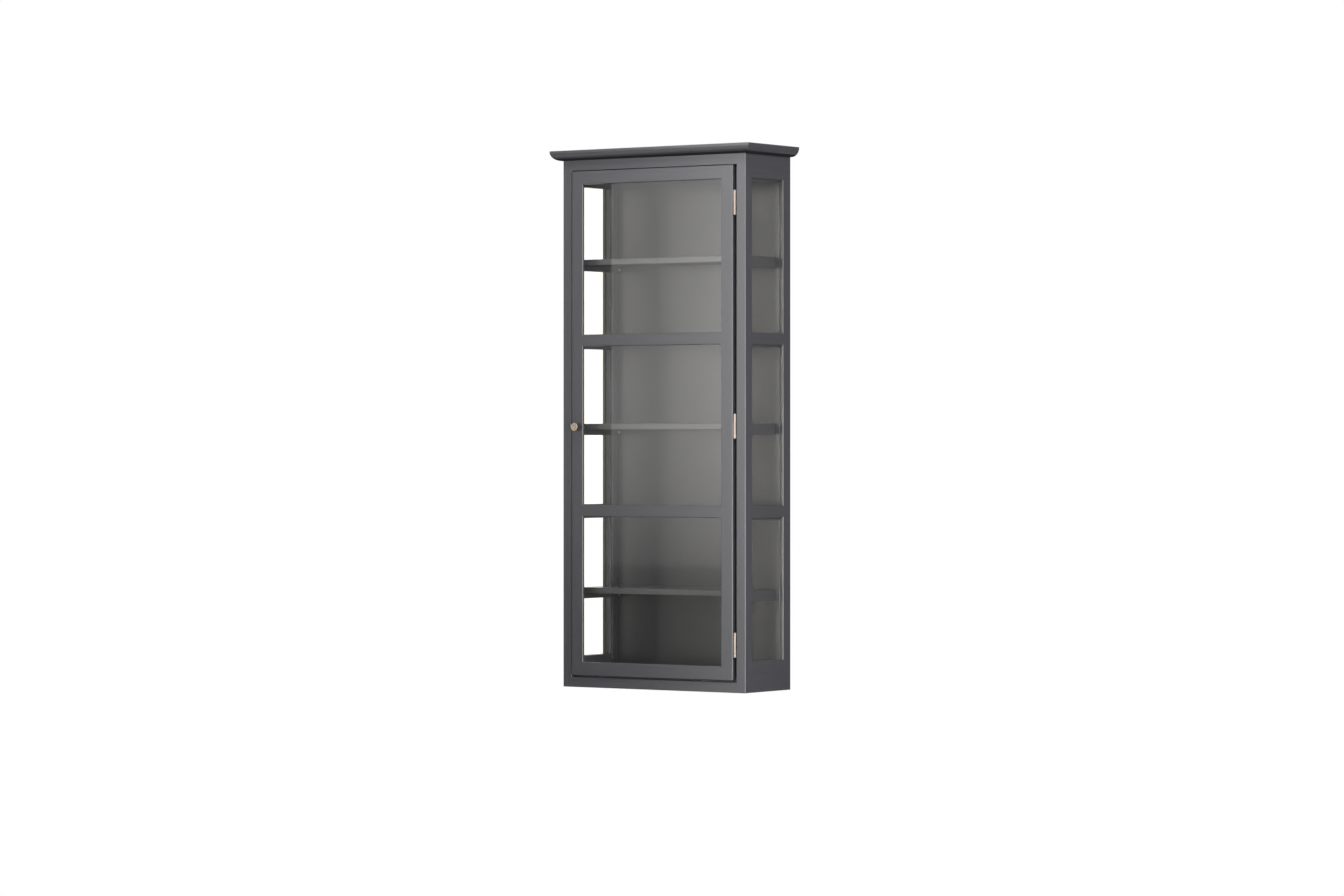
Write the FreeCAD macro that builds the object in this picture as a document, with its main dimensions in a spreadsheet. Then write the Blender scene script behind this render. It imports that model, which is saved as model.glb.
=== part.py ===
import FreeCAD, Part
import os
import re
import Sketcher
from FreeCAD import Placement, Rotation, Vector

# Wall-hung display cabinet with a glazed door, glazed sides and three shelves, in millimetres.
# X runs to the right along the wall, Y into the wall and Z up. The wall is the plane Y = 0 and the
# origin lies midway between the two hanging holes. Heights in the sheet are above the underside.

doc = FreeCAD.newDocument("display_cabinet")
sheet = doc.addObject("Spreadsheet::Sheet", "Sizes")

driving_sizes = (
    ("carcass_width", 410, "across both side frames"),
    ("carcass_depth", 149.5, "wall to the front of the carcass"),
    ("carcass_height", 982, "underside to the underside of the cornice"),
    ("cornice_thick", 18, "cornice board"),
    ("cornice_side", 19, "overhang at each side"),
    ("cornice_front", 17.5, "overhang at the front"),
    ("cornice_round", 16.5, "radius of the moulded lower edge"),
    ("cornice_ease", 0.8, "eased upper edge"),
    ("board_thick", 19, "top and bottom board"),
    ("back_thick", 4, "back panel"),
    ("back_rebate", 6, "how far the back panel laps the back stiles"),
    ("back_play", 0.5, "room round the back panel"),
    ("frame_thick", 20, "side frames"),
    ("front_stile", 22, "width of the side frames' front stiles"),
    ("back_stile", 25, "width of the side frames' back stiles"),
    ("side_top_rail", 44, "height of the side frames' top rails"),
    ("side_bottom_rail", 57, "height of the side frames' bottom rails"),
    ("side_lip", 6, "wood outside the side glass"),
    ("mid_rail", 22, "height of every mid rail"),
    ("upper_mid", 635, "underside of the upper mid rails"),
    ("lower_mid", 318.4, "underside of the lower mid rails"),
    ("rebate", 7, "width of the side frames' glass rebates"),
    ("head_bead", 11, "height of the beads over the side panes"),
    ("pane_thick", 4, "window glass"),
    ("pane_play", 1, "room round each pane"),
    ("tenon_depth", 8, "outer face to the tenon's cheek"),
    ("tenon_thick", 6, "rail tenons"),
    ("tenon_long", 8, "length of each tenon"),
    ("tenon_haunch", 8, "tenon kept in from the end of a stile"),
    ("shelf_thick", 11, "shelves"),
    ("shelf_front", 24, "shelf set back from the front"),
    ("shelf_play", 0.5, "room at the ends and back of a shelf"),
    ("upper_shelf", 797.6, "top of the upper shelf"),
    ("middle_shelf", 491, "top of the middle shelf"),
    ("lower_shelf", 185.5, "top of the lower shelf"),
    ("bearer_size", 10, "square section of a bearer"),
    ("bearer_front", 15.5, "bearer set back from the front"),
    ("door_thick", 18, "door frame"),
    ("door_proud", 3.5, "door face in front of the carcass"),
    ("door_lip", 5, "wood in front of the door glass"),
    ("door_rebate", 8, "width of the door's glass rebates"),
    ("door_bead", 3.5, "square section of the door's glazing beads"),
    ("door_rail", 25, "height of the door's top and bottom rails"),
    ("knob_stile", 25, "width of the stile with the knob"),
    ("hinge_stile", 25, "width of the stile with the hinges"),
    ("gap_top", 1.5, "room over the door"),
    ("gap_bottom", 3.5, "room under the door"),
    ("gap_knob", 2.6, "room at the knob side"),
    ("gap_hinge", 6, "room at the hinge side, filled by the two leaves and the knuckle"),
    ("hinge_forward", 0.5, "hinge axis in front of the carcass"),
    ("hinge_long", 44, "length of a hinge"),
    ("knuckle_radius", 2.6, "outside of the hinge knuckles"),
    ("knuckle_play", 0.2, "gap between two knuckles"),
    ("leaf_thick", 1, "hinge leaves"),
    ("leaf_start", 3, "hinge axis to the straight edge of a leaf"),
    ("leaf_reach", 13.5, "hinge axis to the far edge of a leaf"),
    ("leaf_screw", 8.5, "hinge axis to the line of screws"),
    ("leaf_pitch", 26, "between the two screws of a leaf"),
    ("pin_radius", 1.25, "hinge pins"),
    ("pin_play", 0.05, "radial running room on the pin"),
    ("pin_head_radius", 1.9, "riveted ends of the pins"),
    ("pin_head_thick", 0.6, "riveted ends of the pins"),
    ("upper_hinge", 893, "middle of the upper hinge"),
    ("middle_hinge", 485.5, "middle of the middle hinge"),
    ("lower_hinge", 87, "middle of the lower hinge"),
    ("knob_height", 485, "axis of the knob"),
    ("knob_radius", 7.6, "face of the knob"),
    ("knob_neck", 3, "neck of the knob"),
    ("knob_collar", 2, "straight part of the neck"),
    ("knob_rim", 4, "straight rim of the face"),
    ("knob_long", 10.5, "knob in front of the door"),
    ("knob_ease", 0.8, "eased edges of the face"),
    ("bolt_radius", 2, "machine screw in the knob"),
    ("bolt_play", 0.1, "room round that screw in the stile"),
    ("bolt_grip", 7, "how far it enters the knob"),
    ("bolt_head_radius", 3.5, "its pan head"),
    ("bolt_head_thick", 2.2, "its pan head"),
    ("catch_place", 130, "catch and strike, left of the middle"),
    ("catch_wide", 22, "magnet housing"),
    ("catch_tall", 12, "magnet housing"),
    ("catch_deep", 14, "magnet housing"),
    ("catch_gap", 0.3, "magnet to strike plate"),
    ("ear_wide", 40, "across the two fixing ears"),
    ("ear_thick", 3, "fixing ears"),
    ("ear_deep", 10, "fixing ears, front to back"),
    ("ear_pitch", 31, "between the screws of the catch"),
    ("magnet_wide", 16, "magnet"),
    ("magnet_tall", 7, "magnet"),
    ("magnet_deep", 9, "magnet"),
    ("strike_wide", 36, "strike plate"),
    ("strike_tall", 11, "strike plate"),
    ("strike_thick", 1, "strike plate"),
    ("strike_drop", 1.5, "strike plate below the top of the door"),
    ("strike_pitch", 26, "between the screws of the strike plate"),
    ("hanger_height", 920, "hanging holes above the underside"),
    ("hanger_inset", 7, "hanging holes in from the outside of the carcass"),
    ("hanger_wide", 12, "hanger plate"),
    ("hanger_below", 18, "hanger plate below the hole"),
    ("hanger_above", 24, "hanger plate above the hole"),
    ("hanger_thick", 2, "hanger plate"),
    ("hanger_hole", 3.75, "radius of the round hole"),
    ("hanger_slot", 2, "half the width of the slot"),
    ("hanger_rise", 12, "round hole to the top of the slot"),
    ("hanger_pocket", 8, "room for a screw head behind the plate"),
    ("hanger_room", 4.5, "half the width and the end room of that space"),
    ("hanger_screw_below", 12, "lower screw of a hanger plate below the hole"),
    ("hanger_screw_above", 20, "upper screw of a hanger plate above the hole"),
    ("dowel_radius", 4, "beech dowels"),
    ("dowel_front", 105, "front dowels to the wall"),
    ("dowel_rear", 45, "rear dowels to the wall"),
    ("dowel_in_board", 18, "dowel in the end of a board"),
    ("dowel_in_rail", 12, "dowel in a side rail"),
    ("glue_room", 0.05, "glue line round dowels and screws"),
    ("short_screw", 12, "screws of the hinges, catch, hangers and back"),
    ("short_shank", 1.25, "their radius"),
    ("short_head", 2.4, "radius of their heads"),
    ("panel_screw_low", 60, "lowest back panel screw in a stile"),
    ("panel_screw_pitch", 267, "between the back panel screws in a stile"),
    ("panel_screw_spread", 90, "back panel screws in the boards, from the middle"),
    ("bearer_screw", 18, "screws of the shelf bearers"),
    ("bearer_shank", 1.4, "their radius"),
    ("bearer_head", 2.8, "radius of their heads"),
    ("bearer_rear", 5, "rear bearer screws in front of the back panel"),
    ("long_screw", 30, "screws of the cornice"),
    ("long_shank", 1.75, "their radius"),
    ("long_head", 3.5, "radius of their heads"),
    ("long_spread", 150, "outer cornice screws, from the middle"),
    ("long_front", 118, "front cornice screws to the wall"),
    ("long_rear", 32, "rear cornice screws to the wall"),
    ("slot_wide", 0.8, "driver slot of a screw"),
    ("slot_deep", 0.6, "driver slot of a screw"),
)
for row, (alias, value, note) in enumerate(driving_sizes, 1):
    sheet.set(f"A{row}", note)
    sheet.set(f"B{row}", str(value))
    sheet.setAlias(f"B{row}", alias)
doc.recompute()
aliases = {alias for alias, value, note in driving_sizes}

# Places that several pieces share, as formulas of the sheet
half = "carcass_width / 2"
inner = "(carcass_width / 2 - frame_thick)"
front = "-carcass_depth"
door_left = f"(gap_knob - {inner})"
door_right = f"({inner} - gap_hinge)"
door_front = "(-carcass_depth - door_proud)"
door_back = "(-carcass_depth - door_proud + door_thick)"
door_low = "(board_thick + gap_bottom)"
door_high = "(carcass_height - board_thick - gap_top)"
ceiling = "(carcass_height - board_thick)"
hinge_x = f"({inner} - gap_hinge / 2)"
hinge_y = "(-carcass_depth - hinge_forward)"
shelves = ("upper_shelf", "middle_shelf", "lower_shelf")
hinges = ("upper_hinge", "middle_hinge", "lower_hinge")
sides = {"left": -1, "right": 1}

# Turns that point a piece's own Z axis along a direction
turns = {
    "right": Rotation(Vector(0, 1, 0), 90),
    "left": Rotation(Vector(0, 1, 0), -90),
    "to_wall": Rotation(Vector(1, 0, 0), -90),
    "to_room": Rotation(Vector(1, 0, 0), 90),
    "up": Rotation(),
}

subparts = []
cutters = {}
groups = {}


def cells(text):
    return re.sub(r"[a-z_]+", lambda word: f"Sizes.{word[0]}" if word[0] in aliases else word[0], text)


def bind(item, prop, text):
    item.setExpression(prop, cells(text))


def place(item, at, way="up"):
    x, y, z = at
    item.Placement = Placement(Vector(), turns[way])
    bind(item, "Placement.Base.x", x)
    bind(item, "Placement.Base.y", y)
    bind(item, "Placement.Base.z", f"({z}) - hanger_height")
    return item


def box(name, x, y, z):
    item = doc.addObject("Part::Box", name)
    for prop, (low, high) in zip(("Length", "Width", "Height"), (x, y, z)):
        bind(item, prop, f"({high}) - ({low})")
    return place(item, (x[0], y[0], z[0]))


def rod(name, at, way, radius, length):
    item = doc.addObject("Part::Cylinder", name)
    bind(item, "Radius", radius)
    bind(item, "Height", length)
    return place(item, at, way)


def fuse(name, items):
    item = doc.addObject("Part::MultiFuse", name)
    item.Shapes = items
    item.Refine = True
    return item


def cut(name, base, tools):
    item = doc.addObject("Part::Cut", name)
    item.Base = base
    item.Tool = tools[0] if len(tools) == 1 else fuse(f"{name}_tools", tools)
    item.Refine = True
    return item


def group(name, items):
    item = doc.addObject("Part::Compound", name)
    item.Links = items
    return item


def drill(node, tool):
    cutters.setdefault(node, []).append(tool)


def subpart(node, base):
    tools = cutters.pop(node, [])
    item = cut(f"{node}_cut", base, tools) if tools else base
    item.Label = node
    subparts.append(item)


def mirrored(sign, near, far):
    return (near, far) if sign > 0 else (f"-({far})", f"-({near})")


def around(middle, width):
    return (f"{middle} - ({width}) / 2", f"{middle} + ({width}) / 2")


# Turned pieces: a half section in a sketch, revolved about the piece's own Z axis
def turned(name, points):
    body = doc.addObject("PartDesign::Body", name)
    sketch = body.newObject("Sketcher::SketchObject", f"{name}_section")
    plane = next(part for part in body.Origin.OriginFeatures if part.Role == "XZ_Plane")
    sketch.AttachmentSupport = [(plane, "")]
    sketch.MapMode = "FlatFace"
    corners = [tuple(sheet.evalExpression(cells(text)) for text in point) for point in points]
    for start, end in zip(corners, corners[1:] + corners[:1]):
        sketch.addGeometry(Part.LineSegment(Vector(*start, 0), Vector(*end, 0)))
    axis_lines = {"DistanceX": -2, "DistanceY": -1}
    for line, (point, corner) in enumerate(zip(points, corners)):
        sketch.addConstraint(Sketcher.Constraint("Coincident", line, 2, (line + 1) % len(points), 1))
        for kind, text, value in zip(axis_lines, point, corner):
            if text == "0":
                sketch.addConstraint(Sketcher.Constraint("PointOnObject", line, 1, axis_lines[kind]))
                continue
            number = sketch.addConstraint(Sketcher.Constraint(kind, -1, 1, line, 1, value))
            sketch.renameConstraint(number, f"{kind}_{line}")
            bind(sketch, f"Constraints.{kind}_{line}", text)
    revolved = body.newObject("PartDesign::Revolution", f"{name}_turned")
    revolved.Profile = sketch
    revolved.ReferenceAxis = (sketch, ["V_Axis"])
    revolved.Angle = 360
    doc.recompute()
    return body


def screw_section(shank, head, length, room):
    head_depth = f"({head} - {shank})"
    return (
        ("0", "0"),
        (f"{head} + {room}", "0"),
        (f"{shank} + {room}", head_depth),
        (f"{shank} + {room}", f"{length} - 2 * {shank}"),
        ("0", f"{length} + {room}"),
    )


# A countersunk screw, its driver slot, and the hole that it fills
def screw_kind(shank, head, length):
    blank = turned(f"{length}_blank", screw_section(shank, head, length, "0"))
    slot = doc.addObject("Part::Box", f"{length}_slot")
    bind(slot, "Length", f"3 * {head}")
    bind(slot, "Width", "slot_wide")
    bind(slot, "Height", "slot_deep")
    bind(slot, "Placement.Base.x", f"-1.5 * {head}")
    bind(slot, "Placement.Base.y", "-slot_wide / 2")
    hole = turned(f"{length}_hole", screw_section(shank, head, length, "glue_room"))
    return cut(f"{length}_screw", blank, [slot]), hole


def copy_of(item, name, at, way):
    link = doc.addObject("App::Link", name)
    link.LinkedObject = item
    return place(link, at, way)


def fasten(node, kind, at, way, through):
    screw, hole = kind
    members = groups.setdefault(node, [])
    members.append(copy_of(screw, f"{node}_{len(members)}", at, way))
    tool = copy_of(hole, f"{node}_hole_{len(members)}", at, way)
    for other in through:
        drill(other, tool)


short = screw_kind("short_shank", "short_head", "short_screw")
middling = screw_kind("bearer_shank", "bearer_head", "bearer_screw")
long = screw_kind("long_shank", "long_head", "long_screw")


# A glazed frame: two stiles, four tenoned rails, three panes and their beads. The block function
# takes a stretch across the frame, a depth from its outer face and a height.
def glazed_frame(prefix, block, first, second, height, top_rail, bottom_rail, thick, lip, rebate, bead):
    low, high = height
    bead_wide, bead_deep, head_wide = bead
    first_name, first_edge, first_inside = first
    second_name, second_inside, second_edge = second
    first_seat = f"{first_inside} - {rebate}"
    second_seat = f"{second_inside} + {rebate}"
    outer = ("0", lip)
    rear = (lip, thick)
    tenon = ("tenon_depth", "tenon_depth + tenon_thick")

    rails = (
        ("top_rail", f"{high} - {top_rail}", high, rebate, "0", "0", "tenon_haunch"),
        ("upper_mid_rail", "upper_mid", "upper_mid + mid_rail", rebate, rebate, "0", "0"),
        ("lower_mid_rail", "lower_mid", "lower_mid + mid_rail", rebate, rebate, "0", "0"),
        ("bottom_rail", low, f"{low} + {bottom_rail}", "0", rebate, "tenon_haunch", "0"),
    )
    for name, foot, head, foot_rebate, head_rebate, foot_haunch, head_haunch in rails:
        node = f"{prefix}_{name}"
        foot_web = f"{foot} + {foot_rebate}"
        head_web = f"{head} - {head_rebate}"
        face = block(f"{node}_face", (first_inside, second_inside), outer, (foot, head))
        web = block(f"{node}_web", (first_seat, second_seat), rear, (foot_web, head_web))
        tongue = block(
            f"{node}_tenon",
            (f"{first_seat} - tenon_long", f"{second_seat} + tenon_long"),
            tenon,
            (f"{foot_web} + {foot_haunch}", f"{head_web} - {head_haunch}"),
        )
        for stile in (first_name, second_name):
            drill(f"{prefix}_{stile}", tongue)
        subpart(node, fuse(f"{node}_blank", [face, web, tongue]))

    for name, stretch, seat in (
        (first_name, (first_edge, first_inside), (first_seat, first_inside)),
        (second_name, (second_inside, second_edge), (second_inside, second_seat)),
    ):
        node = f"{prefix}_{name}"
        drill(node, block(f"{node}_rebate", seat, rear, (low, high)))
        subpart(node, block(f"{node}_blank", stretch, ("0", thick), (low, high)))

    openings = (
        ("upper", "upper_mid + mid_rail", f"{high} - {top_rail}"),
        ("middle", "lower_mid + mid_rail", "upper_mid"),
        ("lower", f"{low} + {bottom_rail}", "lower_mid"),
    )
    beads = []
    for name, foot, head in openings:
        foot_seat = f"{foot} - {rebate}"
        head_seat = f"{head} + {rebate}"
        pane = block(
            f"{prefix}_{name}_pane",
            (f"{first_seat} + pane_play", f"{second_seat} - pane_play"),
            (lip, f"{lip} + pane_thick"),
            (f"{foot_seat} + pane_play", f"{head_seat} - pane_play"),
        )
        subpart(f"{prefix}_{name}_glass", pane)
        foot_top = f"{foot_seat} + {bead_wide}"
        head_foot = f"{head_seat} - {head_wide}"
        for edge, stretch, span in (
            ("foot", (first_seat, second_seat), (foot_seat, foot_top)),
            ("head", (first_seat, second_seat), (head_foot, head_seat)),
            ("first", (first_seat, f"{first_seat} + {bead_wide}"), (foot_top, head_foot)),
            ("second", (f"{second_seat} - {bead_wide}", second_seat), (foot_top, head_foot)),
        ):
            depth = (f"{lip} + pane_thick", f"{lip} + pane_thick + {bead_deep}")
            beads.append(block(f"{prefix}_{name}_{edge}_bead", stretch, depth, span))
    subpart(f"{prefix}_glazing_beads", group(f"{prefix}_beads", beads))


# Top and bottom boards between the side frames, on dowels
dowel_rows = ("-dowel_front", "-dowel_rear")
boards = {"top": f"{ceiling} + board_thick / 2", "bottom": "board_thick / 2"}
dowels = []
for board, level in boards.items():
    for side, sign in sides.items():
        start = mirrored(sign, f"{inner} - dowel_in_board", f"{inner} + dowel_in_rail")[0]
        for row, depth in enumerate(dowel_rows):
            name = f"{board}_{side}_dowel_{row}"
            at = (start, depth, level)
            length = "dowel_in_board + dowel_in_rail"
            dowels.append(rod(name, at, "right", "dowel_radius", length))
            hole = rod(f"{name}_hole", at, "right", "dowel_radius + glue_room", length)
            drill(f"{board}_board", hole)
            drill(f"{side}_{board}_rail", hole)
subpart("carcass_dowels", group("dowels", dowels))

# Cornice: a flat board, its lower edge rounded on the front and both sides
cornice = doc.addObject("PartDesign::Body", "cornice_body")
outline = cornice.newObject("Sketcher::SketchObject", "cornice_outline")
floor_plane = next(part for part in cornice.Origin.OriginFeatures if part.Role == "XY_Plane")
outline.AttachmentSupport = [(floor_plane, "")]
outline.MapMode = "FlatFace"
cornice_half = "carcass_width / 2 + cornice_side"
cornice_depth = "carcass_depth + cornice_front"
half_now = sheet.evalExpression(cells(cornice_half))
depth_now = sheet.evalExpression(cells(cornice_depth))
rim = [
    Vector(-half_now, -depth_now, 0),
    Vector(half_now, -depth_now, 0),
    Vector(half_now, 0, 0),
    Vector(-half_now, 0, 0),
]
for start, end in zip(rim, rim[1:] + rim[:1]):
    outline.addGeometry(Part.LineSegment(start, end))
for line in range(len(rim)):
    outline.addConstraint(Sketcher.Constraint("Coincident", line, 2, (line + 1) % len(rim), 1))
for line, kind in enumerate(("Horizontal", "Vertical", "Horizontal", "Vertical")):
    outline.addConstraint(Sketcher.Constraint(kind, line))
outline.addConstraint(Sketcher.Constraint("PointOnObject", 2, 1, -1))
for number, (kind, line, text, value) in enumerate(
    (
        ("DistanceX", 1, cornice_half, half_now),
        ("DistanceX", 3, f"-({cornice_half})", -half_now),
        ("DistanceY", 0, f"-({cornice_depth})", -depth_now),
    )
):
    index = outline.addConstraint(Sketcher.Constraint(kind, -1, 1, line, 1, value))
    outline.renameConstraint(index, f"edge_{number}")
    bind(outline, f"Constraints.edge_{number}", text)
pad = cornice.newObject("PartDesign::Pad", "cornice_board")
pad.Profile = outline
bind(pad, "Length", "cornice_thick")
doc.recompute()


# The edges of one face of the board, apart from the one along the wall
def rim_edges(feature, level):
    nearly = 1e-6
    names = []
    for number, edge in enumerate(feature.Shape.Edges, 1):
        reach = edge.BoundBox
        flat = abs(reach.ZMin - level) < nearly and abs(reach.ZMax - level) < nearly
        if flat and reach.YMin < -nearly:
            names.append(f"Edge{number}")
    return names


moulding = cornice.newObject("PartDesign::Fillet", "cornice_moulding")
moulding.Base = (pad, rim_edges(pad, 0))
bind(moulding, "Radius", "cornice_round")
doc.recompute()
eased = cornice.newObject("PartDesign::Fillet", "cornice_eased")
eased.Base = (moulding, rim_edges(moulding, moulding.Shape.BoundBox.ZMax))
bind(eased, "Radius", "cornice_ease")
doc.recompute()
place(cornice, ("0", "0", "carcass_height"))
for x in ("-long_spread", "0", "long_spread"):
    for y in ("-long_front", "-long_rear"):
        fasten("cornice_screws", long, (x, y, ceiling), "up", ("top_board", "cornice"))
subpart("cornice", cornice)

# Back panel in its rebate
panel_half = f"{inner} + back_rebate - back_play"
panel = box(
    "panel_blank",
    (f"-({panel_half})", panel_half),
    ("-back_thick", "0"),
    ("back_play", "carcass_height - back_play"),
)
panel_rows = 4
for side, sign in sides.items():
    groove = box(
        f"{side}_panel_groove",
        mirrored(sign, inner, f"{inner} + back_rebate"),
        ("-back_thick", "0"),
        ("0", "carcass_height"),
    )
    drill(f"{side}_back_stile", groove)
    line = f"{sign} * ({inner} + back_rebate / 2)"
    for row in range(panel_rows):
        level = f"panel_screw_low + {row} * panel_screw_pitch"
        through = ("back_panel", f"{side}_back_stile")
        fasten("back_panel_screws", short, (line, "0", level), "to_room", through)
for board, level in boards.items():
    for x in ("-panel_screw_spread", "panel_screw_spread"):
        through = ("back_panel", f"{board}_board")
        fasten("back_panel_screws", short, (x, "0", level), "to_room", through)
subpart("back_panel", panel)

# Keyhole hanger plates let into the back stiles
plates = []
for side, sign in sides.items():
    middle = f"{sign} * ({half} - hanger_inset)"
    plate_depth = ("-hanger_thick", "0")
    blank = box(
        f"{side}_hanger_blank",
        around(middle, "hanger_wide"),
        plate_depth,
        ("hanger_height - hanger_below", "hanger_height + hanger_above"),
    )
    drill(f"{side}_back_stile", blank)
    pocket = box(
        f"{side}_hanger_pocket",
        around(middle, "2 * hanger_room"),
        ("-hanger_thick - hanger_pocket", "-hanger_thick"),
        ("hanger_height - hanger_room", "hanger_height + hanger_rise + hanger_room"),
    )
    drill(f"{side}_back_stile", pocket)
    slot_top = "hanger_height + hanger_rise"
    hole_at = (middle, "-hanger_thick", "hanger_height")
    end_at = (middle, "-hanger_thick", slot_top)
    hole = rod(f"{side}_hanging_hole", hole_at, "to_wall", "hanger_hole", "hanger_thick")
    slot = box(
        f"{side}_hanging_slot",
        around(middle, "2 * hanger_slot"),
        plate_depth,
        ("hanger_height", slot_top),
    )
    slot_end = rod(f"{side}_hanging_end", end_at, "to_wall", "hanger_slot", "hanger_thick")
    for level in ("hanger_height - hanger_screw_below", "hanger_height + hanger_screw_above"):
        through = ("hanger_plates", f"{side}_back_stile")
        fasten("hanger_screws", short, (middle, "0", level), "to_room", through)
    plates.append(cut(f"{side}_hanger_plate", blank, [hole, slot, slot_end]))
subpart("hanger_plates", group("hangers", plates))

# Shelves on their bearers
for shelf in shelves:
    shelf_half = f"({inner} - shelf_play)"
    board = box(
        f"{shelf}_blank",
        (f"-{shelf_half}", shelf_half),
        (f"{front} + shelf_front", "-back_thick - shelf_play"),
        (f"{shelf} - shelf_thick", shelf),
    )
    subpart(f"shelf_{shelf.split('_')[0]}", board)
for side, sign in sides.items():
    strips = []
    for shelf in shelves:
        foot = f"{shelf} - shelf_thick - bearer_size"
        strips.append(
            box(
                f"{side}_{shelf}_bearer",
                mirrored(sign, f"{inner} - bearer_size", inner),
                (f"{front} + bearer_front", "-back_thick"),
                (foot, f"{shelf} - shelf_thick"),
            )
        )
        face = f"{sign} * ({inner} - bearer_size)"
        level = f"{foot} + bearer_size / 2"
        node = f"{side}_shelf_bearers"
        ends = {
            f"{side}_glazing_beads": f"{front} + front_stile - rebate / 2",
            f"{side}_back_stile": "-back_thick - bearer_rear",
        }
        for other, depth in ends.items():
            fasten("bearer_screws", middling, (face, depth, level), side, (node, other))
    subpart(f"{side}_shelf_bearers", group(f"{side}_bearers", strips))

# Butt hinges: the frame carries the odd knuckles and the pin, the door the even ones
frame_leaf = (f"{inner} - leaf_thick", inner)
door_leaf = (door_right, f"{door_right} + leaf_thick")
knuckles = 5
pitch = f"hinge_long / {knuckles}"
leaf_kinds = (
    ("frame", frame_leaf, range(0, knuckles, 2), "0", "right", frame_leaf[0], "right_front_stile"),
    ("door", door_leaf, range(1, knuckles, 2), "knuckle_play", "left", door_leaf[1], "door_hinge_stile"),
)
pins = []
for hinge in hinges:
    foot = f"({hinge} - hinge_long / 2)"
    name = hinge.split("_")[0]
    for owner, leaf, own, play, way, face, wood in leaf_kinds:
        node = f"{name}_hinge_{owner}_leaf"
        straight = (f"{hinge_y} + leaf_start", f"{hinge_y} + leaf_reach")
        pieces = [box(f"{node}_plate", leaf, straight, (foot, f"{foot} + hinge_long"))]
        for number in own:
            low = f"{foot} + {number} * {pitch} + {play}"
            tall = f"{pitch} - 2 * {play}"
            wrap = (hinge_y, f"{hinge_y} + leaf_start")
            at = (hinge_x, hinge_y, low)
            pieces.append(box(f"{node}_wrap_{number}", leaf, wrap, (low, f"{low} + {tall}")))
            pieces.append(rod(f"{node}_knuckle_{number}", at, "up", "knuckle_radius", tall))
        bore = rod(f"{node}_bore", (hinge_x, hinge_y, foot), "up", "pin_radius + pin_play", "hinge_long")
        drill(node, bore)
        for offset in ("-leaf_pitch / 2", "leaf_pitch / 2"):
            at = (face, f"{hinge_y} + leaf_screw", f"{hinge} + {offset}")
            group_name = "frame_hinge_screws" if owner == "frame" else "door_screws"
            fasten(group_name, short, at, way, (node, wood))
        subpart(node, fuse(f"{node}_blank", pieces))
    shaft = rod(f"{name}_pin_shaft", (hinge_x, hinge_y, foot), "up", "pin_radius", "hinge_long")
    ends = [
        rod(f"{name}_pin_{end}", (hinge_x, hinge_y, level), "up", "pin_head_radius", "pin_head_thick")
        for end, level in (("foot", f"{foot} - pin_head_thick"), ("head", f"{foot} + hinge_long"))
    ]
    pins.append(fuse(f"{name}_pin", [shaft] + ends))
subpart("hinge_pins", group("pins", pins))

# Knob, wide face out, and the machine screw that holds it from inside
knob_at = f"{door_left} + knob_stile / 2"
knob = turned(
    "knob_body",
    (
        ("0", "0"),
        ("knob_neck", "0"),
        ("knob_neck", "knob_collar"),
        ("knob_radius", "knob_long - knob_rim"),
        ("knob_radius", "knob_long"),
        ("0", "knob_long"),
    ),
)
turned_knob = knob.Tip
rims = [
    f"Edge{number}"
    for number, edge in enumerate(turned_knob.Shape.Edges, 1)
    if edge.Curve.TypeId == "Part::GeomCircle" and edge.Curve.Radius > sheet.knob_radius / 2
]
softened = knob.newObject("PartDesign::Fillet", "knob_rims")
softened.Base = (turned_knob, rims)
bind(softened, "Radius", "knob_ease")
doc.recompute()
place(knob, (knob_at, door_front, "knob_height"), "to_room")
bolt_at = (knob_at, door_back, "knob_height")
bolt_long = "door_thick + bolt_grip"
shank = rod("knob_bolt", bolt_at, "to_room", "bolt_radius", bolt_long)
bolt_head = rod("knob_bolt_head", bolt_at, "to_wall", "bolt_head_radius", "bolt_head_thick")
tapped = rod("knob_tapping", bolt_at, "to_room", "bolt_radius + glue_room", f"{bolt_long} + glue_room")
clear = rod("knob_clearance", bolt_at, "to_room", "bolt_radius + bolt_play", "door_thick")
drill("knob", tapped)
drill("door_knob_stile", clear)
subpart("knob", knob)
subpart("knob_screw", fuse("knob_screw_blank", [shank, bolt_head]))

# Magnetic catch under the top board, and its strike plate on the back of the door
catch_x = "-catch_place"
catch_y = f"({door_back} + strike_thick + catch_gap)"
housing = box(
    "catch_housing",
    around(catch_x, "catch_wide"),
    (catch_y, f"{catch_y} + catch_deep"),
    (f"{ceiling} - catch_tall", ceiling),
)
ears = box(
    "catch_ears",
    around(catch_x, "ear_wide"),
    (f"{catch_y} + catch_deep - ear_deep", f"{catch_y} + catch_deep"),
    (f"{ceiling} - ear_thick", ceiling),
)
magnet = box(
    "catch_magnet_block",
    around(catch_x, "magnet_wide"),
    (catch_y, f"{catch_y} + magnet_deep"),
    around(f"{ceiling} - (catch_tall + ear_thick) / 2", "magnet_tall"),
)
drill("catch_body", magnet)
for offset in ("-ear_pitch / 2", "ear_pitch / 2"):
    at = (f"{catch_x} + {offset}", f"{catch_y} + catch_deep - ear_deep / 2", f"{ceiling} - ear_thick")
    fasten("catch_screws", short, at, "up", ("catch_body", "top_board"))
subpart("catch_body", fuse("catch_blank", [housing, ears]))
subpart("catch_magnet", magnet)
strike_top = f"{door_high} - strike_drop"
strike = box(
    "strike_blank",
    around(catch_x, "strike_wide"),
    (door_back, f"{door_back} + strike_thick"),
    (f"{strike_top} - strike_tall", strike_top),
)
for offset in ("-strike_pitch / 2", "strike_pitch / 2"):
    at = (f"{catch_x} + {offset}", f"{door_back} + strike_thick", f"{strike_top} - strike_tall / 2")
    fasten("door_screws", short, at, "to_room", ("strike_plate", "door_top_rail"))
subpart("strike_plate", strike)

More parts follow.
